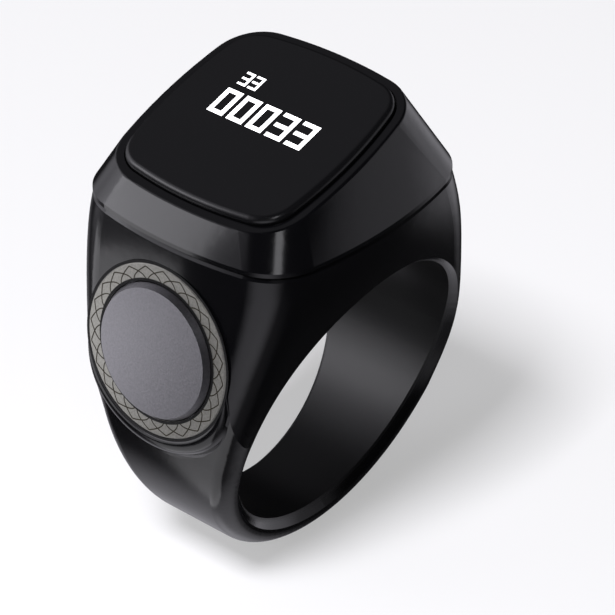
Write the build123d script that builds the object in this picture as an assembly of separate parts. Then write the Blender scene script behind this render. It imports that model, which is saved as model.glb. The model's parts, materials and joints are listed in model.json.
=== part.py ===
"""Digital tasbih counter worn as a finger ring.

Millimetres, Z up. The finger bore runs along Y through the origin and the push button is on the -X side.
"""

import os
from math import acos, atan2, cos, hypot, radians, sin, tan

from build123d import *

# Band and head
bore_radius = 10.0
band_thickness = 1.95
band_radius = bore_radius + band_thickness
seam_z = 14.54
seam_x = -0.75
seam_half_x = 10.0
seam_half_y = 9.58
seam_side_radius = 30.0
seam_corner = 4.0
seam_gap = 0.16
seam_edge = 0.18
head_step = 0.74
waist_step = 3.81
foot_step = 6.45
head_half_width = seam_half_y - head_step
waist_half_width = seam_half_y - waist_step
foot_half_width = seam_half_y - foot_step
foot_slope_share = 0.16
wall_bend_radius = 12.0
edge_round = 1.3
foot_flat = 0.73
pad_edge_round = foot_half_width - foot_flat
rim_chamfer = 0.6

# How the head's rounding grows from the button up to the seam
shaping_shares = (0.0, 0.12, 0.24, 0.36, 0.5, 0.63, 0.76)
shaping_power = 2.6
low_corner = 2.4
low_side_radius = 1500.0
shaping_bite = 0.04
shaping_margin = 0.3

# Button wall, pad and button, depths measured inward from the pad's face
wall_tilt = radians(9.8)
button_z = seam_z / 2
pad_margin = 1.07
pad_radius = button_z - pad_margin
pad_bevel = 0.25
pad_skirt_middle = (0.7, 0.9)
pad_skirt_end = (1.5, 1.3)
pad_root = 2.2
pad_lip = 0.4
trim_width = 1.15
trim_radius = pad_radius - pad_lip
trim_inner_radius = trim_radius - trim_width
trim_proud = 0.06
trim_depth = 0.6
trim_fit = 0.03
trim_edge = 0.08
cap_gap = 0.1
cap_proud = 0.5
cap_bevel = 0.24
flange_overlap = 0.45
flange_gap = 0.05
flange_thickness = 0.5
pocket_gap = 0.15
gasket_thickness = 0.5
gasket_inset = 0.2
gasket_inner_radius = 2.2
web_thickness = 0.55
stem_radius = 1.2
stem_gap = 0.1
stem_reach = 0.6

# Snap dome, contact board and their slot
dome_gap = 0.02
dome_height = 0.3
dome_radius = 1.5
dome_sheet = 0.1
contact_board_half = (1.85, 2.15)
contact_board_thickness = 0.3
slot_fit = 0.08
slot_reach = 6.4
ribbon_thickness = 0.12
switch_ribbon_width = 3.0
switch_ribbon_start = 1.65
switch_ribbon_turn = 5.2
ribbon_bend = 0.3
switch_ribbon_foot = 1.4

# Electronics bay, its floor and the board
roof_thickness = 1.4
bay_floor = bore_radius + roof_thickness
bay_wall_left = 2.2
bay_wall_right = 1.4
bay_wall_side = 1.98
bay_x = seam_x + (bay_wall_left - bay_wall_right) / 2
bay_half_x = seam_half_x - (bay_wall_left + bay_wall_right) / 2
bay_half_y = seam_half_y - bay_wall_side
bay_left = bay_x - bay_half_x
bay_right = bay_x + bay_half_x
bay_corner = 2.8
board_fit = 0.2
board_thickness = 0.6
boss_height = 1.1
boss_radius = 1.2
board_bottom = bay_floor + boss_height
board_top = board_bottom + board_thickness
screw_inset_x = 2.45
screw_inset_y = 2.5
screw_radius = 0.5
screw_hole_gap = 0.1
thread_gap = 0.02
screw_reach = 2.6
screw_head_radius = 0.8
screw_head_height = 0.45
screw_slot = (0.24, 0.2)

# Bezel and screen
screen_tilt = radians(15.1)
low_edge_inset = 1.343
low_edge_rise = 2.143
rim_step_x = 2.18
rim_step_y = 1.76
rim_half_x = seam_half_x - rim_step_x
rim_half_y = seam_half_y - rim_step_y
rim_side_radius = 34.7
rim_corner = 3.45
rim_edge = 0.2
skirt_height = 0.3
tongue_fit = 0.08
tongue_depth = 1.04
tongue_thickness = 0.8
rim_width = 0.56
lens_side_radius = 29.5
recess_corner = 2.57
lens_gap = 0.1
lens_proud = 0.5
lens_sunk = 0.7
lens_edge = 0.42
tape_thickness = 0.15
ledge_width = 1.06
window_corner = 1.6
window_depth = 1.9
seal_inset = 0.3
lens_tape_width = 0.85
film_inset = 0.25
film_thickness = 0.2
panel_inset_x = 1.1
panel_inset_y = 0.7
panel_thickness = 1.1
display_ribbon_width = 6.0
display_ribbon_start = 2.6
display_ribbon_turn = 0.7
display_ribbon_inset = 1.55
display_ribbon_foot = 0.9
display_ribbon_bend = 0.5

# Cell, motor, charging and board parts
cell_height = 2.8
cell_inset_y = 2.1
cell_clear_right = 3.55
cell_gap = 0.2
cell_round = 0.5
mount_tape = 0.1
lead_radius = 0.2
lead_pitch = 1.6
lead_rise = 1.2
lead_reach = 0.45
lead_bend = 0.25
motor_radius = 3.0
motor_height = 1.8
motor_inset = 4.25
motor_edge = 0.25
contact_pitch = 2.6
contact_radius = 0.8
contact_thickness = 0.5
contact_recess = 0.03
contact_pin_radius = 0.5
contact_fit = 0.03
magnet_pitch = 7.4
magnet_radius = 1.2
magnet_thickness = 0.8
magnet_fit = 0.05
chip_size = (4.0, 4.0, 0.8)
chip_place = (-2.65, 0.0)
memory_size = (2.0, 3.0, 0.6)
memory_place = (1.8, 0.0)
crystal_size = (2.0, 1.6, 0.5)
crystal_place = (4.1, 0.0)
antenna_size = (3.2, 1.6, 0.7)
antenna_inset = 2.0
passive_size = (1.0, 0.5, 0.35)
passive_pitch = 1.5
passive_row = 4
passive_place = (-4.2, 2.7)

# Points and planes that follow from the sizes
wall_top_x = seam_x - seam_half_x
screen_x = wall_top_x + low_edge_inset + rim_half_x * cos(screen_tilt)
screen_z = seam_z + low_edge_rise + rim_half_x * sin(screen_tilt)
button_x = wall_top_x - (seam_z - button_z) * tan(wall_tilt)
button_frame = Plane((button_x, 0, button_z), x_dir=(0, -1, 0), z_dir=(-cos(wall_tilt), 0, sin(wall_tilt)))
screen_frame = Plane(
    (screen_x, 0, screen_z),
    x_dir=(cos(screen_tilt), 0, sin(screen_tilt)),
    z_dir=(-sin(screen_tilt), 0, cos(screen_tilt)),
)
cap_radius = trim_inner_radius - cap_gap
flange_radius = trim_inner_radius + flange_overlap
flange_top = trim_depth + flange_gap
flange_bottom = flange_top + flange_thickness
gasket_outer_radius = flange_radius - gasket_inset
pocket_radius = flange_radius + pocket_gap
pocket_floor = flange_bottom + gasket_thickness
slot_front = pocket_floor + web_thickness
stem_tip = pocket_floor + stem_reach
dome_top = stem_tip + dome_gap
dome_foot = dome_top + dome_height
slot_back = dome_foot + contact_board_thickness
recess_half = (rim_half_x - rim_width, rim_half_y - rim_width)
window_half = (recess_half[0] - ledge_width, recess_half[1] - ledge_width)
lens_half = (recess_half[0] - lens_gap, recess_half[1] - lens_gap)
lens_corner = recess_corner - lens_gap
lens_bottom = -lens_sunk
ledge = lens_bottom - tape_thickness
panel_top = lens_bottom - film_thickness
panel_bottom = panel_top - panel_thickness
cell_bottom = board_top + mount_tape
motor_x = bay_left + motor_inset
cell_left = motor_x + motor_radius + cell_gap
cell_size = (bay_right - cell_clear_right - cell_left, 2 * (bay_half_y - cell_inset_y), cell_height)
cell_x = cell_left + cell_size[0] / 2
antenna_place = (0.0, antenna_inset - bay_half_y)


def bulged(half_x, half_y, side_radius, corner):
    """Square outline with slightly round sides and round corners."""
    reach_x = side_radius - half_x
    reach_y = side_radius - half_y
    side = Circle(side_radius)
    outline = Pos(reach_x, 0) * side & Pos(-reach_x, 0) * side
    outline = outline & Pos(0, reach_y) * side & Pos(0, -reach_y) * side
    return fillet(outline.vertices(), corner)


def inset(amount, *lengths):
    """Lengths of an outline that lies inside by an amount."""
    return [length - amount for length in lengths]


def tangent_point(point, radius, turn):
    """Where a line from the point touches a circle around the bore's axis."""
    angle = atan2(point[1], point[0]) + turn * acos(radius / hypot(*point))
    return radius * cos(angle), radius * sin(angle)


def button_disc(radius, start, end):
    """Disc on the button's axis between two depths."""
    return extrude(button_frame.offset(-end) * Circle(radius), end - start)


def wall_point(depth, rise):
    """Place in the XZ plane at a depth behind the pad's face and a rise along it."""
    place = button_frame.from_local_coords((0, rise, -depth))
    return place.X, place.Z


def ribbon(points, bend, width):
    """Flat ribbon along a route in the XZ plane."""
    route = FilletPolyline(*points, radius=bend)
    return extrude(Plane.XZ * trace(route, ribbon_thickness), width / 2, both=True)


def face_along(shape, frame):
    """Outermost face of a shape along a frame's normal."""
    return shape.faces().sort_by(Axis(frame.origin, frame.z_dir))[-1]


def screen_plate(half_x, half_y, side_radius, corner, bottom, top):
    """Bulged plate parallel to the screen."""
    return extrude(screen_frame.offset(bottom) * bulged(half_x, half_y, side_radius, corner), top - bottom)


def level_plate(center_x, half_x, half_y, corner, bottom, top):
    """Bulged level plate."""
    return extrude(Pos(center_x, 0, bottom) * bulged(half_x, half_y, seam_side_radius, corner), top - bottom)


def block(size, place, bottom):
    """Box standing on a level."""
    return Pos(place[0], place[1], bottom + size[2] / 2) * Box(*size)


# Side outline of the ring, seen along the bore
wall_top = (wall_top_x, seam_z)
wall_middle = (button_x, button_z)
wall_foot = tangent_point(wall_middle, band_radius, 1)
back_top = (seam_x + seam_half_x, seam_z)
back_foot = tangent_point(back_top, band_radius, -1)


def side_block(bend_wall):
    """Side outline carried across the width, with or without the wall's bend under the button."""
    lines = [ThreePointArc(wall_foot, (0, -band_radius), back_foot), Line(back_foot, back_top)]
    lines += [Line(back_top, wall_top), Line(wall_top, wall_middle), Line(wall_middle, wall_foot)]
    if not bend_wall:
        low_wall = wall_point(0, -button_z - band_radius)
        lines = [Line(back_foot, back_top), Line(back_top, wall_top), Line(wall_top, low_wall)]
        lines += [Line(low_wall, (back_foot[0], low_wall[1])), Line((back_foot[0], low_wall[1]), back_foot)]
    outline = make_face(lines)
    if bend_wall:
        corner = outline.vertices().sort_by_distance(wall_middle)[0]
        outline = fillet(corner, wall_bend_radius)
    return extrude(Plane.XZ * outline, seam_half_y + band_thickness, both=True)


# Width outline of the ring, seen along X
front_profile = Spline(
    (seam_half_y, seam_z),
    (head_half_width, bore_radius),
    (waist_half_width, 0),
    (foot_half_width, -band_radius),
    tangents=((0, -1), (-foot_slope_share, -1)),
)


def width_block():
    """Width outline carried along X."""
    low = -band_radius - band_thickness
    foot = foot_half_width - foot_slope_share * band_thickness
    lines = [front_profile, mirror(front_profile, Plane.YZ)]
    lines += [Line((-seam_half_y, seam_z), (seam_half_y, seam_z))]
    lines += [Line((foot_half_width, -band_radius), (foot, low)), Line((foot, low), (-foot, low))]
    lines += [Line((-foot, low), (-foot_half_width, -band_radius))]
    return extrude(Plane.YZ * make_face(lines), 2 * band_radius, both=True)


def rounded_ring(bend_wall, rounding):
    """Solid ring with its long edges rounded."""
    solid = side_block(bend_wall) & width_block()
    long_edges = [
        edge
        for edge in solid.edges()
        if edge.position_at(0).Y * edge.position_at(1).Y > 0 and edge.position_at(0.5).Z < seam_z - seam_gap
    ]
    return fillet(long_edges, rounding)


def back_x(level):
    """Where the side outline's back is at a level."""
    if level < back_foot[1]:
        return (band_radius**2 - level**2) ** 0.5
    return back_top[0] + (back_foot[0] - back_top[0]) * (seam_z - level) / (seam_z - back_foot[1])


def head_shaper():
    """Tall form whose corners and sides grow rounder toward the seam."""
    sections = []
    low_z = (front_profile @ shaping_shares[-1]).Y
    for share in shaping_shares:
        place = front_profile @ share
        rise = (place.Y - low_z) / (seam_z - low_z)
        growth = rise**shaping_power
        margin = shaping_margin - (shaping_margin + shaping_bite) * rise
        left = wall_top_x - (seam_z - place.Y) * tan(wall_tilt)
        right = back_x(place.Y)
        curve = 1 / low_side_radius + (1 / seam_side_radius - 1 / low_side_radius) * growth
        corner = low_corner + (seam_corner - low_corner) * growth
        outline = bulged((right - left) / 2 + margin, place.X + margin, 1 / curve, corner)
        sections.append(Pos((left + right) / 2, 0, place.Y) * outline)
    return loft(sections) + block_below(low_z)


def block_below(level):
    """Everything under a level."""
    size = 3 * band_radius
    return Pos(0, 0, level - size / 2) * Box(size, size, size)


def top_bevel(top):
    """Form that bevels the edge of the body's top face."""
    low = top - seam_edge
    seam = bulged(seam_half_x, seam_half_y, seam_side_radius, seam_corner)
    edge = bulged(*inset(seam_edge, seam_half_x, seam_half_y, seam_side_radius, seam_corner))
    return loft([Pos(seam_x, 0, low) * seam, Pos(seam_x, 0, top) * edge], ruled=True) + block_below(low)


def button_pad():
    """Flat round pad under the button with a soft skirt."""
    rim = (pad_radius + pad_bevel, pad_bevel)
    middle = (pad_radius + pad_skirt_middle[0], pad_skirt_middle[1])
    end = (pad_radius + pad_skirt_end[0], pad_skirt_end[1])
    lines = [Line((0, 0), (pad_radius, 0)), Line((pad_radius, 0), rim), ThreePointArc(rim, middle, end)]
    lines += [Polyline(end, (end[0], pad_root), (0, pad_root), (0, 0))]
    profile = make_face(lines)
    return button_frame * (Rot(X=-90) * revolve(profile, Axis.Y))


# Ring body
screw_places = [
    (bay_x + across * (bay_half_x - screw_inset_x), along * (bay_half_y - screw_inset_y))
    for across in (-1, 1)
    for along in (-1, 1)
]
bay_outline = bulged(bay_half_x, bay_half_y, seam_side_radius, bay_corner)


def ring_body():
    body = rounded_ring(True, edge_round) - Rot(X=90) * Cylinder(bore_radius, 3 * seam_half_y)
    rim = [
        edge
        for edge in body.edges()
        if all(abs(hypot(point.X, point.Z) - bore_radius) < trim_fit for point in edge.positions((0, 0.5, 1)))
    ]
    body = chamfer(rim, rim_chamfer)
    shaper = head_shaper()
    body = body & shaper
    body += button_pad() & rounded_ring(False, pad_edge_round) & shaper
    body = body & top_bevel(seam_z - seam_gap / 2)
    body -= extrude(Pos(bay_x, 0, bay_floor) * bay_outline, seam_z - bay_floor)
    for place in screw_places:
        boss = Pos(*place, bay_floor + boss_height / 2) * Cylinder(boss_radius, boss_height)
        body += boss
        hole = screw_reach + screw_hole_gap
        body -= Pos(*place, board_top - hole / 2) * Cylinder(screw_radius + thread_gap, hole)
    body -= button_disc(trim_radius + trim_fit, -cap_proud, trim_depth)
    body -= button_disc(pocket_radius, trim_depth, pocket_floor)
    body -= button_disc(stem_radius + stem_gap, pocket_floor, slot_front)
    low, half_width = -contact_board_half[0] - slot_fit, contact_board_half[1] + slot_fit
    slot = Pos(0, (slot_reach + low) / 2) * Rectangle(2 * half_width, slot_reach - low)
    body -= extrude(button_frame.offset(-slot_back) * slot, slot_back - slot_front)
    seat = contact_recess + contact_thickness
    for side in (-1, 1):
        contact_y = side * contact_pitch / 2
        magnet_y = side * magnet_pitch / 2
        body -= Pos(0, contact_y, bay_floor) * Cylinder(contact_pin_radius + contact_fit, 2 * roof_thickness)
        body -= Pos(0, contact_y, bore_radius) * Cylinder(contact_radius + contact_fit, 2 * seat)
        body -= Pos(0, magnet_y, bay_floor) * Cylinder(magnet_radius + magnet_fit, 2 * magnet_thickness)
    return body


# Bezel and screen
def bezel():
    bottom = seam_z + seam_gap / 2
    seam = bulged(seam_half_x, seam_half_y, seam_side_radius, seam_corner)
    rim = screen_frame * bulged(rim_half_x, rim_half_y, rim_side_radius, rim_corner)
    shell = extrude(Pos(seam_x, 0, bottom) * seam, skirt_height)
    shell += loft([Pos(seam_x, 0, bottom + skirt_height) * seam, rim], ruled=True)
    shell = fillet(shell.faces().sort_by(Axis.Z)[-1].outer_wire().edges(), rim_edge)
    tongue_half = inset(tongue_fit, bay_half_x, bay_half_y)
    foot = seam_z - tongue_depth
    shell += level_plate(bay_x, *tongue_half, bay_corner - tongue_fit, foot, bottom + skirt_height)
    inner_half = inset(tongue_thickness, *tongue_half)
    inner = bulged(*inner_half, seam_side_radius, bay_corner - tongue_thickness)
    window = bulged(*window_half, lens_side_radius, window_corner)
    shell -= loft([Pos(bay_x, 0, foot) * inner, screen_frame.offset(-window_depth) * window], ruled=True)
    shell -= extrude(screen_frame.offset(-window_depth) * window, window_depth + lens_proud)
    shell -= screen_plate(*recess_half, lens_side_radius, recess_corner, ledge, lens_proud)
    return shell


def seam_seal():
    bottom, top = seam_z - seam_gap / 2, seam_z + seam_gap / 2
    outer = inset(seal_inset, seam_half_x, seam_half_y, seam_corner)
    seal = level_plate(seam_x, *outer, bottom, top)
    return seal - extrude(Pos(bay_x, 0, bottom) * bay_outline, seam_gap)


def cover_lens():
    lens = screen_plate(*lens_half, lens_side_radius, lens_corner, lens_bottom, lens_proud)
    return fillet(face_along(lens, screen_frame).edges(), lens_edge)


def lens_adhesive():
    outer = screen_plate(*lens_half, lens_side_radius, lens_corner, ledge, lens_bottom)
    inner_half = inset(lens_tape_width, *lens_half)
    return outer - screen_plate(*inner_half, lens_side_radius, window_corner, ledge, lens_bottom)


def touch_film():
    half = inset(film_inset, *window_half)
    return screen_plate(*half, lens_side_radius, window_corner, panel_top, lens_bottom)


def oled_panel():
    panel = Rectangle(2 * (window_half[0] - panel_inset_x), 2 * (window_half[1] - panel_inset_y))
    return extrude(screen_frame.offset(panel_bottom) * panel, panel_thickness)


def display_flex():
    level = panel_bottom - ribbon_thickness / 2
    start = screen_frame.from_local_coords((window_half[0] - display_ribbon_start, 0, level))
    turn = screen_frame.from_local_coords((window_half[0] - display_ribbon_turn, 0, level))
    foot_z = board_top + ribbon_thickness / 2
    foot_x = bay_right - display_ribbon_inset
    points = [(start.X, start.Z), (turn.X, turn.Z), (foot_x, foot_z), (foot_x - display_ribbon_foot, foot_z)]
    return ribbon(points, display_ribbon_bend, display_ribbon_width)


# Button, its trim and its switch
def button_cap():
    cap = button_disc(cap_radius, -trim_proud, flange_top)
    top = [button_frame.offset(trim_proud) * Circle(cap_radius)]
    top += [button_frame.offset(cap_proud) * Circle(cap_radius - cap_bevel)]
    cap += loft(top)
    cap += button_disc(flange_radius, flange_top, flange_bottom)
    return cap + button_disc(stem_radius, flange_bottom, stem_tip)


def button_ring():
    trim = button_disc(trim_radius, -trim_proud, trim_depth)
    trim -= button_disc(trim_inner_radius, -trim_proud, trim_depth)
    return chamfer(face_along(trim, button_frame).edges(), trim_edge)


def button_gasket():
    return button_disc(gasket_outer_radius, flange_bottom, pocket_floor) - button_disc(
        gasket_inner_radius, flange_bottom, pocket_floor
    )


def switch_dome():
    outer = ThreePointArc((dome_radius, 0), (0, dome_height), (-dome_radius, 0))
    inner_radius = dome_radius - dome_sheet
    inner = ThreePointArc((-inner_radius, 0), (0, dome_height - dome_sheet), (inner_radius, 0))
    feet = [Line((side * dome_radius, 0), (side * inner_radius, 0)) for side in (-1, 1)]
    section = make_face([outer, feet[0], inner, feet[1]])
    half = section & Pos(dome_radius, dome_height) * Rectangle(2 * dome_radius, 4 * dome_height)
    return button_frame.offset(-dome_foot) * (Rot(X=90) * revolve(half, Axis.Y))


def switch_board():
    plate = Rectangle(2 * contact_board_half[1], 2 * contact_board_half[0])
    return extrude(button_frame.offset(-slot_back) * plate, contact_board_thickness)


def switch_flex():
    depth = dome_foot - ribbon_thickness / 2
    start, turn = wall_point(depth, switch_ribbon_start), wall_point(depth, switch_ribbon_turn)
    level = board_bottom - ribbon_thickness / 2
    rise = turn[0] + switch_ribbon_foot / 2
    points = [start, turn, (rise, level), (rise + switch_ribbon_foot, level)]
    return ribbon(points, ribbon_bend, switch_ribbon_width)


# Board and the parts on it
def main_board():
    board = level_plate(bay_x, *inset(board_fit, bay_half_x, bay_half_y, bay_corner), board_bottom, board_top)
    for place in screw_places:
        board -= Pos(*place, board_top) * Cylinder(screw_radius + screw_hole_gap, 2 * board_thickness)
    return board


def board_screws():
    shank = Pos(0, 0, -screw_reach / 2) * Cylinder(screw_radius, screw_reach)
    head = Pos(0, 0, screw_head_height / 2) * Cylinder(screw_head_radius, screw_head_height)
    drive = Pos(0, 0, screw_head_height) * Box(2 * screw_head_radius, screw_slot[0], 2 * screw_slot[1])
    screw = shank + head - drive
    return [Pos(*place, board_top) * screw for place in screw_places]


def board_passives():
    chips = []
    for side in (-1, 1):
        for index in range(passive_row):
            place = (passive_place[0] + index * passive_pitch, side * passive_place[1])
            chips.append(block(passive_size, place, board_bottom - passive_size[2]))
    return chips


def under_board(size, place):
    return block(size, place, board_bottom - size[2])


def battery_cell():
    cell = block(cell_size, (cell_x, 0), cell_bottom)
    return fillet(cell.edges().filter_by(Axis.Y), cell_round)


def battery_leads():
    start = -cell_size[1] / 2
    end = start - lead_reach
    top = cell_bottom + lead_rise
    path = Plane.YZ * FilletPolyline((start, top), (end, top), (end, board_top), radius=lead_bend)
    lead = sweep(Plane(path @ 0, z_dir=path % 0) * Circle(lead_radius), path)
    return [Pos(cell_x + side * lead_pitch / 2, 0, 0) * lead for side in (-1, 1)]


def vibration_motor():
    motor = Pos(motor_x, 0, cell_bottom + motor_height / 2) * Cylinder(motor_radius, motor_height)
    return fillet(motor.edges().sort_by(Axis.Z)[-1], motor_edge)


def charge_contacts():
    bottom = bore_radius + contact_recess
    pad = Pos(0, 0, bottom + contact_thickness / 2) * Cylinder(contact_radius, contact_thickness)
    pin_height = board_bottom - bottom
    pin = Pos(0, 0, bottom + pin_height / 2) * Cylinder(contact_pin_radius, pin_height)
    return [Pos(0, side * contact_pitch / 2, 0) * (pad + pin) for side in (-1, 1)]


def charge_magnets():
    magnet = Pos(0, 0, bay_floor - magnet_thickness / 2) * Cylinder(magnet_radius, magnet_thickness)
    return [Pos(0, side * magnet_pitch / 2, 0) * magnet for side in (-1, 1)]


nodes = {
    "ring_body": ring_body(),
    "bezel": bezel(),
    "seam_seal": seam_seal(),
    "cover_lens": cover_lens(),
    "lens_adhesive": lens_adhesive(),
    "touch_film": touch_film(),
    "oled_panel": oled_panel(),
    "display_flex": display_flex(),
    "button_cap": button_cap(),
    "button_ring": button_ring(),
    "button_gasket": button_gasket(),
    "switch_dome": switch_dome(),
    "switch_board": switch_board(),
    "switch_flex": switch_flex(),
    "main_board": main_board(),
    "main_chip": under_board(chip_size, chip_place),
    "memory_chip": under_board(memory_size, memory_place),
    "clock_crystal": under_board(crystal_size, crystal_place),
    "chip_antenna": under_board(antenna_size, antenna_place),
    "board_passives": board_passives(),
    "board_screws": board_screws(),
    "battery_cell": battery_cell(),
    "battery_tape": block((cell_size[0], cell_size[1], mount_tape), (cell_x, 0), board_top),
    "battery_leads": battery_leads(),
    "vibration_motor": vibration_motor(),
    "motor_tape": Pos(motor_x, 0, board_top + mount_tape / 2) * Cylinder(motor_radius, mount_tape),
    "charge_contacts": charge_contacts(),
    "charge_magnets": charge_magnets(),
}

os.makedirs("parts", exist_ok=True)
for name, shape in nodes.items():
    solid = Compound(children=[Part() + piece for piece in shape]) if isinstance(shape, list) else shape
    export_step(solid, f"parts/{name}.step")
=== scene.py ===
"""Looks of a digital tasbih counter worn as a finger ring, laid out as a Blender add-on."""

import json
from math import cos, pi, radians, sin

import bpy
from mathutils import Matrix, Vector


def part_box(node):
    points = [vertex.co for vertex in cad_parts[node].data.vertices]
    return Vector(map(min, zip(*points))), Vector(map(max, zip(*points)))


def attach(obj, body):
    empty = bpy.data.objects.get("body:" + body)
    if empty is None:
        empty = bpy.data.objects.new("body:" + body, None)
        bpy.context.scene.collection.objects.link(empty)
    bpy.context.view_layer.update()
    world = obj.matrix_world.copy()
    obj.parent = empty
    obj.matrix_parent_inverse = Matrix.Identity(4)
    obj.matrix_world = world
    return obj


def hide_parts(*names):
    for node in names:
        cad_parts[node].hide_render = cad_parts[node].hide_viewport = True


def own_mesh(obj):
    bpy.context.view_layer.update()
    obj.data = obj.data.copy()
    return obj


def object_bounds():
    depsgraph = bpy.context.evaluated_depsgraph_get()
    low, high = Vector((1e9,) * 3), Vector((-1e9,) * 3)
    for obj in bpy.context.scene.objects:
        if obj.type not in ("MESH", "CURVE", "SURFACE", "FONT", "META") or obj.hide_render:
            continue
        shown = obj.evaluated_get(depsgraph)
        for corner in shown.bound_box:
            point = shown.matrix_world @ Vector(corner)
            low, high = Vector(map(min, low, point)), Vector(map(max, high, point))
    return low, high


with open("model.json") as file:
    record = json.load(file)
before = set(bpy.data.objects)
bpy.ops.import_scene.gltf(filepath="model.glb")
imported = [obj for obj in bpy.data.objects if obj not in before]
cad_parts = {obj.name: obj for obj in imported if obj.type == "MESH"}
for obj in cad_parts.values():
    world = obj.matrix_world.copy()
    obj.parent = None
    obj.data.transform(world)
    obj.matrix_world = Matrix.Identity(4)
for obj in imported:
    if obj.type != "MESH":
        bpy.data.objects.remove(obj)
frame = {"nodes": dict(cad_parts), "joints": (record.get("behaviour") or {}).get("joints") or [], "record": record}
cad_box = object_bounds()

bl_info = {
    "name": "Counter ring",
    "version": (1, 0, 0),
    "blender": (4, 5, 0),
    "location": "View3D > Sidebar > Counter ring",
    "description": "Finishes, screen digits, button trim and studio of a finger ring counter",
    "category": "Object",
}

MM = 0.001
PRESS = Vector(frame["joints"][0]["axis"]).normalized()
BORE_RADIUS = frame["record"]["mounts"][0]["dims"]["r_mm"] * MM

# Segments that a digit lights, lettered as on a seven-segment display
SEGMENTS = {
    "0": "abcdef",
    "1": "bc",
    "2": "abdeg",
    "3": "abcdg",
    "4": "bcfg",
    "5": "acdfg",
    "6": "acdefg",
    "7": "abc",
    "8": "abcdefg",
    "9": "abcdfg",
}
DIGIT_WIDE, DIGIT_TALL = 4, 7

# Height of the trim's face above the pad that carries it
TRIM_PROUD = 0.06 * MM

# Heights of the thin layers above the faces that carry them
DIGIT_LIFT = 0.01 * MM
GAP_LIFT = 0.01 * MM
LINE_LIFT = 0.006 * MM
LIP_LIFT = 0.004 * MM

# Thickness of what is printed, filled or painted as gap shade, and the distance at which its corners are one
PLATE, WELD = 0.03 * MM, 0.001 * MM

# Shares of their thickness that the snap dome and the gasket keep under the pressed button
DOME_KEEP, GASKET_KEEP = 0.2, 0.5


class CounterSizes(bpy.types.PropertyGroup):
    """What the screen shows and sizes that a user would change, in metres."""

    count: bpy.props.StringProperty(name="Count", description="Digits of the count shown", default="00033")
    target: bpy.props.StringProperty(
        name="Target", description="Small digits of the set target", default="33"
    )
    pixel: bpy.props.FloatProperty(
        name="Pixel", description="Pixel pitch of the count", default=0.32 * MM, unit="LENGTH"
    )
    small_pixel: bpy.props.FloatProperty(
        name="Small pixel", description="Pixel pitch of the target", default=0.17 * MM, unit="LENGTH"
    )
    count_rise: bpy.props.FloatProperty(
        name="Count rise", description="Count above the screen's middle", default=0.45 * MM, unit="LENGTH"
    )
    target_rise: bpy.props.FloatProperty(
        name="Target rise", description="Target above the screen's middle", default=2.7 * MM, unit="LENGTH"
    )
    target_left: bpy.props.FloatProperty(
        name="Target left", description="Target left of the screen's middle", default=2.9 * MM, unit="LENGTH"
    )
    lattice_points: bpy.props.IntProperty(
        name="Lattice points", description="Outer points of the lattice around the button", default=24
    )
    lattice_line: bpy.props.FloatProperty(
        name="Lattice line", description="Width of an engraved line", default=0.08 * MM, unit="LENGTH"
    )
    # Width of the painted gap shade: a dark line beside the trim, standing in for the shade in the gaps
    gap_shade_line: bpy.props.FloatProperty(
        name="Gap line", description="Width of the dark gap beside the trim", default=0.18 * MM, unit="LENGTH"
    )
    lip_flat: bpy.props.FloatProperty(
        name="Lip flat", description="Flat border of the pad around the trim", default=0.4 * MM, unit="LENGTH"
    )
    lip_round: bpy.props.FloatProperty(
        name="Lip round", description="Radius of the pad's round edge", default=0.9 * MM, unit="LENGTH"
    )
    lip_fillet: bpy.props.FloatProperty(
        name="Lip fillet", description="Radius of the fillet below that edge", default=0.6 * MM, unit="LENGTH"
    )


class CounterColours(bpy.types.PropertyGroup):
    """Colours that a user would change, as sRGB hex."""

    shell: bpy.props.StringProperty(name="Shell", description="Moulded shell", default="040405")
    glass: bpy.props.StringProperty(name="Glass", description="Tinted cover glass", default="080809")
    cap: bpy.props.StringProperty(name="Button", description="Dents of the button face", default="7C7B7F")
    cap_light: bpy.props.StringProperty(
        name="Button light", description="Crests of the button face", default="99989C"
    )
    trim: bpy.props.StringProperty(name="Trim", description="Dark speckle of the trim ring", default="72716C")
    trim_light: bpy.props.StringProperty(
        name="Trim light", description="Pale speckle of the trim ring", default="A7A6A0"
    )
    lattice: bpy.props.StringProperty(name="Lattice", description="Engraved lattice", default="1E1808")
    lit: bpy.props.StringProperty(name="Lit pixels", description="Lit screen pixels", default="FFFFFF")
    floor: bpy.props.StringProperty(name="Floor", description="Studio floor", default="A0A0A0")


def sizes():
    return bpy.context.scene.counter_sizes


def colours():
    return bpy.context.scene.counter_colours


def linear(text):
    """Linear colour of an sRGB hex value."""
    parts = [int(text[i : i + 2], 16) / 255 for i in (0, 2, 4)]
    return tuple(c / 12.92 if c <= 0.04045 else ((c + 0.055) / 1.055) ** 2.4 for c in parts) + (1.0,)


def add_node(tree, kind, links=(), values=(), **settings):
    """Adds a node, sets its fields and inputs and links the given outputs to its inputs."""
    node = tree.nodes.new(kind)
    for name, value in settings.items():
        if hasattr(node, name):
            setattr(node, name, value)
        else:
            node.inputs[name.replace("_", " ")].default_value = value
    for place, value in values:
        node.inputs[place].default_value = value
    for output, place in links:
        tree.links.new(output, node.inputs[place])
    return node


def new_material(name, colour, **inputs):
    """Material with one principled shader, its tree and the shader."""
    material = bpy.data.materials.new(name)
    material.use_nodes = True
    shader = material.node_tree.nodes["Principled BSDF"]
    shader.inputs["Base Color"].default_value = linear(colour)
    for field, value in inputs.items():
        shader.inputs[field.replace("_", " ")].default_value = value
    return material, material.node_tree, shader


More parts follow.
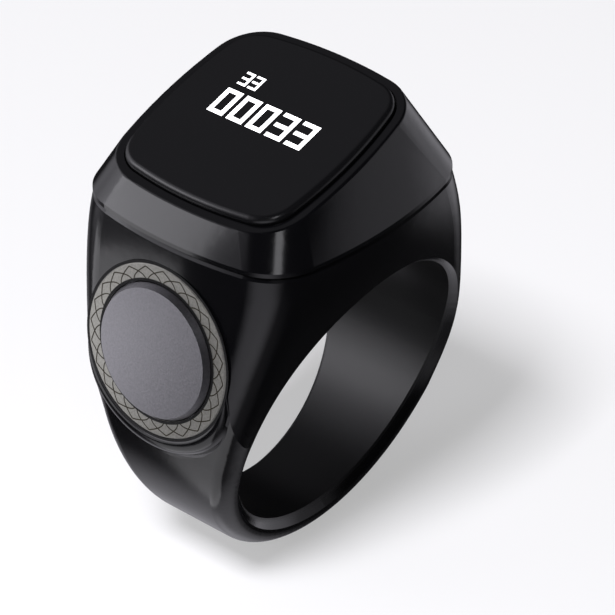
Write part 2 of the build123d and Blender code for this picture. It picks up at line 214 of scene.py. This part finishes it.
def grain(tree, shader, size_mm, low, high, bump):
    """Grain of a real size that varies the roughness from low to high and raises the surface."""
    place = add_node(tree, "ShaderNodeTexCoord").outputs["Object"]
    scale, height = 1 / (size_mm * MM), size_mm * MM / 4
    noise = add_node(tree, "ShaderNodeTexNoise", [(place, "Vector")], Scale=scale, Detail=3.0).outputs["Fac"]
    spread = add_node(tree, "ShaderNodeMapRange", [(noise, "Value")], To_Min=low, To_Max=high)
    rough = spread.outputs["Result"]
    raised = add_node(tree, "ShaderNodeBump", [(noise, "Height")], Strength=bump, Distance=height)
    tree.links.new(rough, shader.inputs["Roughness"])
    tree.links.new(raised.outputs["Normal"], shader.inputs["Normal"])
    return noise, rough


def speckle(tree, shader, noise, dark, light):
    """Colour that goes from dark to light with the grain."""
    ends = [(6, linear(dark)), (7, linear(light))]
    mix = add_node(tree, "ShaderNodeMix", [(noise, "Factor")], ends, data_type="RGBA")
    tree.links.new(mix.outputs[2], shader.inputs["Base Color"])


def polished_abs():
    """ABS from a polished mould."""
    # Black with a soft even gloss and a faint waviness, and satin in the bore
    material, tree, shader = new_material("polished_black_ABS", colours().shell, IOR=1.5)
    _, gloss = grain(tree, shader, 0.6, 0.13, 0.17, 0.02)
    bore_dull, bore_edge, bore_end = 0.2, 0.05 * MM, 0.3 * MM
    place = add_node(tree, "ShaderNodeTexCoord").outputs["Object"]
    flat = add_node(tree, "ShaderNodeVectorMath", [(place, 0)], [(1, (1, 0, 1))], operation="MULTIPLY")
    radius = add_node(tree, "ShaderNodeVectorMath", [(flat.outputs["Vector"], 0)], operation="LENGTH")
    satin = add_node(
        tree,
        "ShaderNodeMapRange",
        [(radius.outputs["Value"], "Value")],
        From_Min=BORE_RADIUS + bore_edge,
        From_Max=BORE_RADIUS + bore_end,
        To_Min=bore_dull,
        To_Max=0.0,
    )
    both = add_node(tree, "ShaderNodeMath", [(gloss, 0), (satin.outputs["Result"], 1)], operation="ADD")
    tree.links.new(both.outputs["Value"], shader.inputs["Roughness"])
    return material


def cover_glass():
    """Tinted glass with an anti-glare etch."""
    # Near black, with reflections that are slightly blurred
    material, tree, shader = new_material("anti-glare_tinted_glass", colours().glass, IOR=1.5)
    grain(tree, shader, 0.3, 0.2, 0.26, 0.01)
    return material


def blasted_alloy():
    """Aluminium alloy, bead blasted."""
    # Matte grey with a fine sparkle of dents
    # Real dents are about 0.05 mm wide and would vanish in the render, so they are drawn three times coarser
    material, tree, shader = new_material("bead-blasted_aluminium", colours().cap, Metallic=1.0)
    noise, _ = grain(tree, shader, 0.16, 0.38, 0.52, 0.25)
    speckle(tree, shader, noise, colours().cap, colours().cap_light)
    return material


def satin_alloy():
    """Aluminium alloy, etched to a satin."""
    # Warm pale grey with a faint speckle
    # Real etched grain is about 0.04 mm wide and is drawn coarser here, so that it shows
    material, tree, shader = new_material("satin_aluminium_trim", colours().trim, Metallic=0.9)
    noise, _ = grain(tree, shader, 0.14, 0.36, 0.5, 0.12)
    speckle(tree, shader, noise, colours().trim, colours().trim_light)
    return material


def line_fill():
    """Dark bronze fill of the engraved lines."""
    # Dull dark brown with a trace of metal
    material, tree, shader = new_material("bronze_line_fill", colours().lattice, Metallic=0.3)
    grain(tree, shader, 0.1, 0.45, 0.6, 0.05)
    return material


def lit_pixels():
    """Organic LED pixels."""
    # Even white glow
    lit = colours().lit
    material, _, _ = new_material(
        "lit_display_pixels", lit, Roughness=0.6, Emission_Color=linear(lit), Emission_Strength=1.0
    )
    return material


def plain(name, colour, size_mm, roughness, metallic=0.0):
    """Simple finish with a fine grain of its own."""
    spread, bump = 0.08, 0.05
    material, tree, shader = new_material(name, colour, Metallic=metallic)
    grain(tree, shader, size_mm, roughness - spread, roughness + spread, bump)
    return material


def dress(material, *nodes):
    """Gives CAD nodes a material."""
    for name in nodes:
        mesh = frame["nodes"][name].data
        mesh.materials.clear()
        mesh.materials.append(material)


def add_piece(name, mesh):
    """New piece that moves with the ring."""
    piece = bpy.data.objects.new(name, mesh)
    bpy.context.scene.collection.objects.link(piece)
    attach(piece, "ring")
    return piece


def add_mesh(name, vertices, faces, material):
    """New piece made of corners and faces."""
    mesh = bpy.data.meshes.new(name)
    mesh.from_pydata(vertices, [], faces)
    mesh.update()
    mesh.materials.append(material)
    return add_piece(name, mesh)


def close_plate(piece):
    """Turns a flat sheet into a thin closed plate that reaches into what carries it."""
    weld = piece.modifiers.new("weld", "WELD")
    weld.merge_threshold = WELD
    plate = piece.modifiers.new("plate", "SOLIDIFY")
    plate.thickness = PLATE
    plate.offset = -1.0


def smooth_step(share):
    """Share from 0 to 1 that starts and ends gently."""
    return share * share * (3 - 2 * share)


class CounterShell(bpy.types.Operator):
    """Finishes the body, the bezel and the seals"""

    bl_idname = "counter.shell"
    bl_label = "Shell"

    def execute(self, context):
        dress(polished_abs(), "ring_body", "bezel")
        # Soft dull black
        dress(plain("black_silicone_seal", "08080A", 0.3, 0.6), "seam_seal", "button_gasket")
        return {"FINISHED"}


class CounterScreen(bpy.types.Operator):
    """Finishes the cover glass and draws the lit digits"""

    bl_idname = "counter.screen"
    bl_label = "Screen"

    def execute(self, context):
        dress(cover_glass(), "cover_lens")
        self.find_screen()
        size, lit = sizes(), lit_pixels()
        self.digits("count_digits", size.count, size.pixel, self.up * size.count_rise, lit)
        place = self.up * size.target_rise - self.right * size.target_left
        self.digits("target_digits", size.target, size.small_pixel, place, lit)
        return {"FINISHED"}

    def find_screen(self):
        """Middle of the screen's face, its normal, and the directions up and right on it."""
        lens = frame["nodes"]["cover_lens"].data
        normal = max(lens.polygons, key=lambda face: face.area).normal.copy()
        normal *= 1 if normal.z > 0 else -1
        low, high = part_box("cover_lens")
        middle = (Vector(low) + Vector(high)) / 2
        face = max(normal.dot(v.co) for v in lens.vertices)
        self.middle = middle + normal * (face - normal.dot(middle))
        self.normal = normal
        self.up = Vector((normal.z, 0, -normal.x)).normalized()
        self.right = Vector((0, -1, 0))

    def lit_cells(self, digit):
        """Rows and columns of the pixels that a digit lights, from the top row down."""
        half, right = DIGIT_TALL // 2, DIGIT_WIDE - 1
        level = {"a": 0, "g": half, "d": 2 * half}
        upright = {"f": (0, 0), "e": (0, half), "b": (right, 0), "c": (right, half)}
        cells = set()
        for segment in SEGMENTS[digit]:
            if segment in level:
                cells |= {(level[segment], column) for column in range(DIGIT_WIDE)}
            else:
                column, top = upright[segment]
                cells |= {(top + step, column) for step in range(half + 1)}
        return sorted(cells)

    def digits(self, name, text, pixel, offset, material):
        """Row of pixel digits centred at an offset from the screen's middle."""
        centre = self.middle + offset + self.normal * DIGIT_LIFT
        step = DIGIT_WIDE + 1
        width = (len(text) * step - 1) * pixel
        vertices, faces = [], []
        for index, digit in enumerate(text):
            for row, column in self.lit_cells(digit):
                across = (index * step + column) * pixel - width / 2
                rise = (DIGIT_TALL / 2 - row) * pixel
                start = len(vertices)
                for a, r in ((0, -1), (1, -1), (1, 0), (0, 0)):
                    vertices.append(centre + self.right * (across + a * pixel) + self.up * (rise + r * pixel))
                faces.append(tuple(range(start, start + 4)))
        close_plate(add_mesh(name, vertices, faces, material))


class CounterButton(bpy.types.Operator):
    """Finishes the button and its trim, with the lattice, the painted shade in the gaps and the lip of the pad"""

    bl_idname = "counter.button"
    bl_label = "Button"

    def execute(self, context):
        dress(blasted_alloy(), "button_cap")
        dress(satin_alloy(), "button_ring")
        self.find_trim()
        self.lattice(line_fill())
        # Matte black line of painted shade in the gaps beside the trim
        self.gaps(plain("painted_gap_shade_black", "030303", 0.2, 0.8))
        self.lip(frame["nodes"]["ring_body"].data.materials[0])
        return {"FINISHED"}

    def find_trim(self):
        """Middle of the trim's face, the directions aside and down on it, and its radii."""
        ring = frame["nodes"]["button_ring"].data
        low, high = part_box("button_ring")
        middle = (Vector(low) + Vector(high)) / 2
        face = max(-PRESS.dot(v.co) for v in ring.vertices)
        self.middle = middle - PRESS * (face + PRESS.dot(middle))
        self.side = Vector((0, 1, 0))
        self.down = self.side.cross(PRESS).normalized()
        offsets = [v.co - self.middle for v in ring.vertices]
        radii = [(offset - PRESS * PRESS.dot(offset)).length for offset in offsets]
        self.inner, self.outer = min(radii), max(radii)

    def outward(self, turn):
        """Direction from the middle at a share of the full turn, which starts at the side and goes down."""
        return cos(2 * pi * turn) * self.side + sin(2 * pi * turn) * self.down

    def around(self, turn, radius, depth):
        """Point at a share of the full turn, a radius and a depth below the trim's face."""
        return self.middle + PRESS * depth + radius * self.outward(turn)

    def lattice(self, material):
        """Lines that fall from sharp outer points, cross and turn steep at the inner edge."""
        tip_share, foot_share, steps = 0.84, 0.9, 12
        tip = self.inner + tip_share * (self.outer - self.inner)
        foot = self.inner + foot_share * sizes().gap_shade_line
        vertices, faces = [], []
        for point in range(sizes().lattice_points):
            for way in (-1, 1):
                start = len(vertices)
                for step in range(steps + 1):
                    vertices += self.line_sides(point, way, step / steps, tip, foot)
                faces += [(a, a + 1, a + 3, a + 2) for a in range(start, start + 2 * steps, 2)]
        close_plate(add_mesh("trim_lattice", vertices, faces, material))

    def line_sides(self, point, way, share, tip, foot):
        """Both sides of a lattice line at a share of its way from a point down to the inner edge."""
        run_pitches, steep, power = 0.92, 0.2, 8
        points, half = sizes().lattice_points, sizes().lattice_line / 2
        turn = (point + way * run_pitches * share) / points
        drop = (1 - steep) * share + steep * share**power
        slope = (1 - steep + steep * power * share ** (power - 1)) * (tip - foot)
        run = way * run_pitches * 2 * pi / points * tip
        place = self.around(turn, tip + drop * (foot - tip), -LINE_LIFT)
        quarter_turn = 0.25
        across = self.outward(turn) * run + self.outward(turn + quarter_turn) * slope
        across = across.normalized() * half
        return [place - across, place + across]

    def gaps(self, material):
        """Painted shade: a dark line around the trim on the pad and along the trim's inner edge, where the gaps
        lie in shade.
        """
        wide, count = sizes().gap_shade_line, 120
        vertices, faces = [], []
        for radius, depth in ((self.outer, TRIM_PROUD - GAP_LIFT), (self.inner, -LINE_LIFT)):
            start = len(vertices)
            for step in range(count):
                vertices += [self.around(step / count, radius + grow, depth) for grow in (0, wide)]
            pairs = [(start + 2 * step, start + 2 * ((step + 1) % count)) for step in range(count)]
            faces += [(a, a + 1, b + 1, b) for a, b in pairs]
        close_plate(add_mesh("trim_gap_shade", vertices, faces, material))

    def lip(self, material):
        """Round edge of the pad, a crescent below the button that narrows to nothing at both ends."""
        first, last, full_from = 4 / 360, 176 / 360, 0.85
        root, draft, count = 2.2 * MM, 0.02 * MM, 80
        level = TRIM_PROUD - LIP_LIFT
        vertices, faces = [], []
        for step in range(count + 1):
            turn = first + (last - first) * step / count
            full = smooth_step(min(1, sin(2 * pi * turn) / full_from))
            shown = self.lip_profile(full, level)
            profile = [(0, root), (0, level), *shown, (shown[-1][0] + draft, root)]
            vertices += [self.around(turn, self.outer + out, depth) for out, depth in profile]
        row = len(profile)
        for step in range(count):
            here, there = step * row, (step + 1) * row
            for point in range(row):
                far = (point + 1) % row
                faces.append((here + point, there + point, there + far, here + far))
        ends = [range(row), reversed(range(count * row, count * row + row))]
        faces += [tuple(end) for end in ends]
        mesh = add_mesh("pad_lip", vertices, faces, material).data
        # Only the shown faces are smooth, not the hidden sides, the bottom and the two ends
        for face in mesh.polygons[: count * row]:
            face.use_smooth = 0 < face.index % row < row - 2

    def lip_profile(self, full, level):
        """Distance from the trim and depth along the round edge and the fillet after it."""
        steep, run_out, steps = radians(80), radians(22), 8
        size = sizes()
        flat, edge, fillet = full * size.lip_flat, full * size.lip_round, full * size.lip_fillet
        angles = [steep * step / steps for step in range(steps + 1)]
        profile = [(flat + edge * sin(a), level + edge * (1 - cos(a))) for a in angles]
        out, depth = profile[-1]
        angles = [steep + (run_out - steep) * step / steps for step in range(1, steps + 1)]
        return profile + [
            (out + fillet * (sin(steep) - sin(a)), depth + fillet * (cos(a) - cos(steep))) for a in angles
        ]


class CounterElectronics(bpy.types.Operator):
    """Finishes the pieces inside and puts copies in place of the soft ones under the button"""

    bl_idname = "counter.electronics"
    bl_label = "Electronics"

    def execute(self, context):
        # Dull black foam
        tape = plain("black_acrylic_foam_tape", "101010", 0.2, 0.8)
        dress(tape, "lens_adhesive", "battery_tape", "motor_tape")
        # Smooth grey film with a clear shine
        dress(plain("touch_sensor_film", "3A3C40", 0.5, 0.15), "touch_film")
        # Black mirror of glass
        dress(plain("display_panel_glass", "0A0A0C", 0.5, 0.15), "oled_panel")
        # Amber ribbon with a soft shine
        dress(plain("polyimide_ribbon", "A8621C", 0.2, 0.4), "display_flex", "switch_flex")
        # Bright cool metal
        steel = plain("nickel-plated_steel", "B5B5B5", 0.15, 0.3, 1.0)
        dress(steel, "switch_dome", "clock_crystal", "board_screws")
        # Bright metal, a shade darker
        dress(plain("stainless_motor_can", "A9AAAC", 0.2, 0.32, 1.0), "vibration_motor")
        # Deep green lacquer
        dress(plain("green_solder_mask", "0F4A26", 0.25, 0.35), "main_board", "switch_board")
        # Dull charcoal
        dress(plain("moulded_epoxy", "17171A", 0.12, 0.6), "main_chip", "memory_chip")
        # Chalky tan
        dress(plain("fired_ceramic", "B79F7C", 0.1, 0.5), "chip_antenna", "board_passives")
        # Silver foil with a soft shine
        dress(plain("aluminium_pouch_foil", "C2C4C6", 0.4, 0.35, 0.8), "battery_cell")
        # Soft dark red
        dress(plain("silicone_lead_sleeve", "8E1414", 0.2, 0.5), "battery_leads")
        # Warm bright gold
        dress(plain("gold-plated_brass", "D9A646", 0.2, 0.25, 1.0), "charge_contacts")
        # Bright silver
        dress(plain("nickel-plated_magnet", "BDBDBD", 0.2, 0.25, 1.0), "charge_magnets")
        self.pressed("switch_dome", DOME_KEEP, "spring_steel")
        self.pressed("button_gasket", GASKET_KEEP, "black_rubber")
        return {"FINISHED"}

    def pressed(self, node, keep, slot):
        """Stands in for a soft piece under the button with a copy of its mesh, and hides the piece from the CAD
        model.
        """
        mesh = frame["nodes"][node].data.copy()
        piece = add_piece(node + "_soft", mesh)
        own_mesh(piece)
        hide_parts(node)


class CounterStage(bpy.types.Operator):
    """Sets the floor, the lights and the camera"""

    bl_idname = "counter.stage"
    bl_label = "Stage"

    def execute(self, context):
        self.floor()
        self.world()
        self.lights()
        self.camera()
        context.scene.view_settings.view_transform = "Standard"
        return {"FINISHED"}

    def floor(self):
        """Pale matte floor that shines a little by itself, as a light table does."""
        half, shine = 2.0, 1.2
        # White card: no gloss at all, and an even pale tone
        material, _, _ = new_material(
            "matte_white_floor",
            colours().floor,
            Roughness=0.9,
            Specular_IOR_Level=0.0,
            Emission_Color=linear(colours().floor),
            Emission_Strength=shine,
        )
        level = cad_box[0][2]
        corners = [(x * half, y * half, level) for x, y in ((-1, -1), (1, -1), (1, 1), (-1, 1))]
        mesh = bpy.data.meshes.new("studio_floor")
        mesh.from_pydata(corners, [], [(0, 1, 2, 3)])
        mesh.materials.append(material)
        floor = bpy.data.objects.new("studio_floor", mesh)
        # Reflections and light from below pass through the floor, so black faces mirror the glows under it
        floor.visible_glossy = False
        floor.visible_shadow = False
        bpy.context.scene.collection.objects.link(floor)

    def world(self):
        """Dark room with soft glows around the ring, each with its direction and brightness."""
        glows = (
            ((-0.45, 0.75, 0.48), 1.0),
            ((-0.75, 0.58, 0.32), 0.5),
            ((-0.40, 0.91, -0.05), 0.2),
            ((0.97, -0.14, -0.18), 0.8),
            ((-0.15, 0.97, 0.15), 0.7),
            ((0.68, -0.73, 0.00), 0.5),
            ((-0.87, -0.40, -0.28), 0.8),
            ((-0.55, -0.54, -0.63), 0.12),
            ((0.32, 0.52, 0.79), 0.14),
            ((0.15, 0.55, -0.82), 0.5),
            ((0.05, -0.05, -1.00), 0.6),
        )
        full_within, gone_beyond, room, tint = radians(6), radians(34), 0.02, "F8F6FF"
        world = bpy.data.worlds.new("studio_room")
        world.use_nodes = True
        tree = world.node_tree
        background = tree.nodes["Background"]
        background.inputs["Color"].default_value = linear(tint)
        place = add_node(tree, "ShaderNodeTexCoord").outputs["Generated"]
        total = add_node(tree, "ShaderNodeValue").outputs[0]
        total.default_value = room
        for direction, glow in glows:
            aim = [(1, Vector(direction).normalized())]
            toward = add_node(tree, "ShaderNodeVectorMath", [(place, 0)], aim, operation="DOT_PRODUCT")
            fade = add_node(
                tree,
                "ShaderNodeMapRange",
                [(toward.outputs["Value"], "Value")],
                interpolation_type="SMOOTHSTEP",
                From_Min=cos(gone_beyond),
                From_Max=cos(full_within),
                To_Max=glow,
            )
            terms = [(total, 0), (fade.outputs["Result"], 1)]
            total = add_node(tree, "ShaderNodeMath", terms, operation="ADD").outputs["Value"]
        tree.links.new(total, background.inputs["Strength"])
        bpy.context.scene.world = world

    def lights(self):
        """Soft boxes, each with its direction, distance, size, brightness and whether surfaces mirror it."""
        boxes = (
            ("key_softbox", (-0.50, -0.08, 0.86), 0.6, (0.15, 0.15), 85.0, False),
            ("left_softbox", (-0.66, 0.66, 0.36), 0.5, (0.26, 0.2), 2.0, True),
            ("near_softbox", (-0.55, -0.54, 0.63), 0.5, (0.1, 0.2), 3.0, True),
            ("floor_bounce", (-0.72, 0.15, -0.68), 0.045, (0.03, 0.03), 1.0, True),
            ("button_fill", (-0.79, 0.61, 0.0), 0.03, (0.019, 0.014), 1.4, True),
        )
        tint = "FBFAFF"
        for name, direction, distance, size, glow, mirrored in boxes:
            light = bpy.data.lights.new(name, "AREA")
            light.shape = "RECTANGLE"
            light.size, light.size_y = size
            light.color = linear(tint)[:3]
            light.energy = glow * pi * size[0] * size[1]
            lamp = bpy.data.objects.new(name, light)
            toward = Vector(direction).normalized()
            lamp.location = toward * distance
            lamp.rotation_euler = toward.to_track_quat("Z", "Y").to_euler()
            lamp.visible_glossy = mirrored
            bpy.context.scene.collection.objects.link(lamp)

    def camera(self):
        """Long lens at the photograph's angle."""
        azimuth, elevation, roll = radians(-48.355), radians(34.902), radians(-1.123)
        frame_px, focal_px, sensor_mm = 615, 3493.56, 36.0
        shift_px = Vector((15.485, 10.069))
        place = Vector((-139.373, -124.640, 133.815)) * MM
        back = Vector((sin(azimuth) * cos(elevation), -cos(azimuth) * cos(elevation), sin(elevation)))
        right = Vector((cos(azimuth), sin(azimuth), 0))
        turn = Matrix((right, back.cross(right), back)).transposed().to_4x4()
        data = bpy.data.cameras.new("photo_camera")
        data.sensor_width = sensor_mm
        data.lens = sensor_mm * focal_px / frame_px
        data.shift_x, data.shift_y = shift_px / frame_px
        data.clip_start = 1 * MM
        camera = bpy.data.objects.new("photo_camera", data)
        camera.matrix_world = Matrix.Translation(place) @ turn @ Matrix.Rotation(roll, 4, "Z")
        bpy.context.scene.collection.objects.link(camera)
        bpy.context.scene.camera = camera


class CounterPanel(bpy.types.Panel):
    """Lists the pieces of the counter ring"""

    bl_idname = "VIEW3D_PT_counter"
    bl_label = "Counter ring"
    bl_space_type = "VIEW_3D"
    bl_region_type = "UI"
    bl_category = "Counter ring"

    def draw(self, context):
        for operator in OPERATORS:
            self.layout.operator(operator.bl_idname)
        for group in (context.scene.counter_sizes, context.scene.counter_colours):
            for name in group.__annotations__:
                self.layout.prop(group, name)


OPERATORS = (CounterShell, CounterScreen, CounterButton, CounterElectronics, CounterStage)
CLASSES = (CounterSizes, CounterColours, *OPERATORS, CounterPanel)


def register():
    for cls in CLASSES:
        bpy.utils.register_class(cls)
    bpy.types.Scene.counter_sizes = bpy.props.PointerProperty(type=CounterSizes)
    bpy.types.Scene.counter_colours = bpy.props.PointerProperty(type=CounterColours)


def unregister():
    del bpy.types.Scene.counter_colours
    del bpy.types.Scene.counter_sizes
    for cls in reversed(CLASSES):
        bpy.utils.unregister_class(cls)


def main():
    register()
    bpy.ops.counter.shell()
    bpy.ops.counter.screen()
    bpy.ops.counter.button()
    bpy.ops.counter.electronics()
    bpy.ops.counter.stage()


if __name__ == "__main__":
    main()
